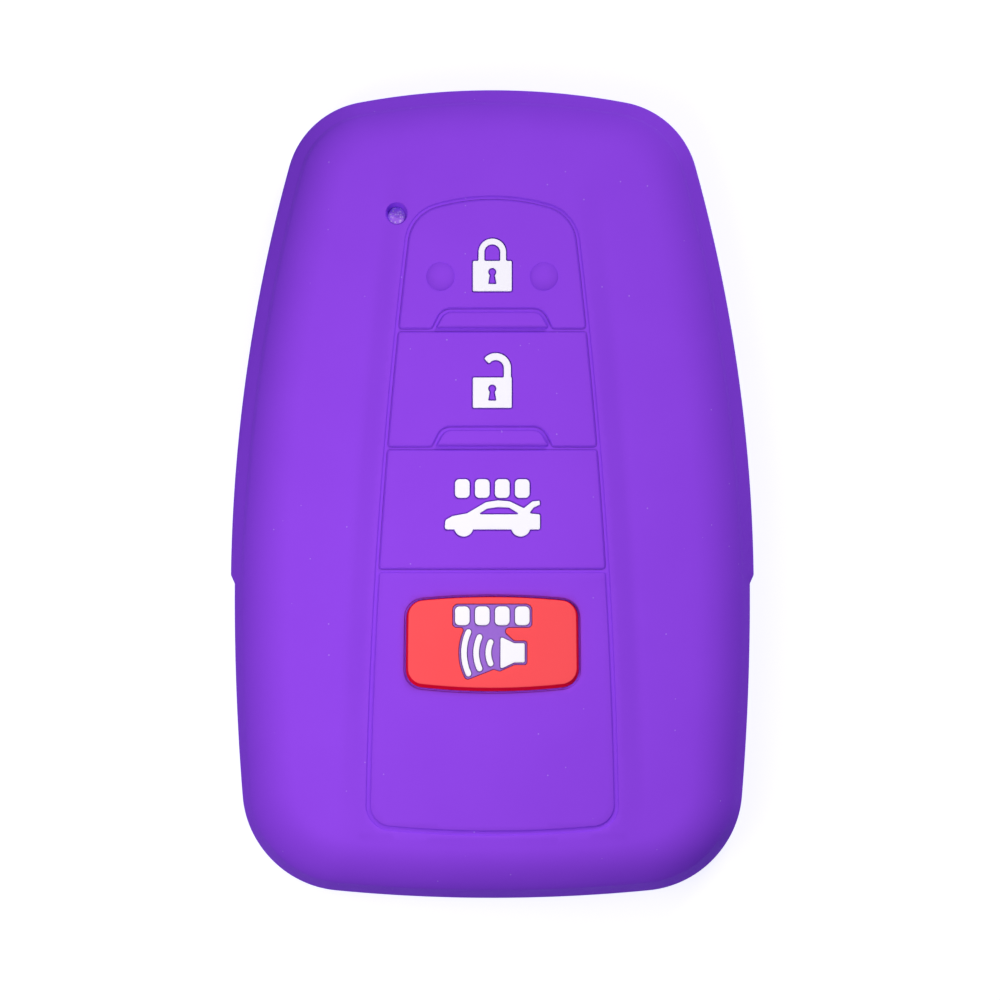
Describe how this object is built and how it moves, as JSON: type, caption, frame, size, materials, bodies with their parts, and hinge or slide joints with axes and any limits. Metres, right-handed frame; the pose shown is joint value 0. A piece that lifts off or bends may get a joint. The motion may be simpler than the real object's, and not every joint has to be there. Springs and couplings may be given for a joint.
{
  "type": "key fob cover",
  "caption": "Soft silicone cover that slips over a car key fob, with a rolled rim, a raised panel of soft press keys with white signs, a red alarm pad and an open back.",
  "frame": {"origin": "on the plane of the back lip, in the middle of the cover's length and width", "axes": "+Z out of the front face with the keys, +Y along the cover towards the lock key, +X to the right as seen from the front"},
  "size_m": [0.0518, 0.08, 0.0176],
  "materials": {
    "purple_silicone": "satin moulded silicone",
    "red_silicone": "satin moulded silicone",
    "white_silicone": "satin moulded silicone"
  },
  "bodies": {
    "cover": {"cover_body": "purple_silicone"},
    "lock_button": {"lock_key": "purple_silicone", "lock_symbol": "white_silicone"},
    "unlock_button": {"unlock_key": "purple_silicone", "unlock_symbol": "white_silicone"},
    "trunk_button": {"trunk_key": "purple_silicone", "trunk_symbol": "white_silicone", "trunk_mark_1": "white_silicone", "trunk_mark_2": "white_silicone", "trunk_mark_3": "white_silicone", "trunk_mark_4": "white_silicone"},
    "panic_button": {"panic_key": "purple_silicone", "panic_pad": "red_silicone", "horn_speaker": "white_silicone", "horn_wave_1": "white_silicone", "horn_wave_2": "white_silicone", "horn_wave_3": "white_silicone", "panic_mark_1": "white_silicone", "panic_mark_2": "white_silicone", "panic_mark_3": "white_silicone", "panic_mark_4": "white_silicone"}
  },
  "joints": [
    {"name": "lock_press", "type": "slide", "parent": "cover", "child": "lock_button", "axis": [0, 0, -1], "range_m": [0, 0.0008], "stiffness_N_per_m": 800},
    {"name": "unlock_press", "type": "slide", "parent": "cover", "child": "unlock_button", "axis": [0, 0, -1], "range_m": [0, 0.0008], "stiffness_N_per_m": 800},
    {"name": "trunk_press", "type": "slide", "parent": "cover", "child": "trunk_button", "axis": [0, 0, -1], "range_m": [0, 0.0008], "stiffness_N_per_m": 800},
    {"name": "panic_press", "type": "slide", "parent": "cover", "child": "panic_button", "axis": [0, 0, -1], "range_m": [0, 0.0008], "stiffness_N_per_m": 800}
  ]
}
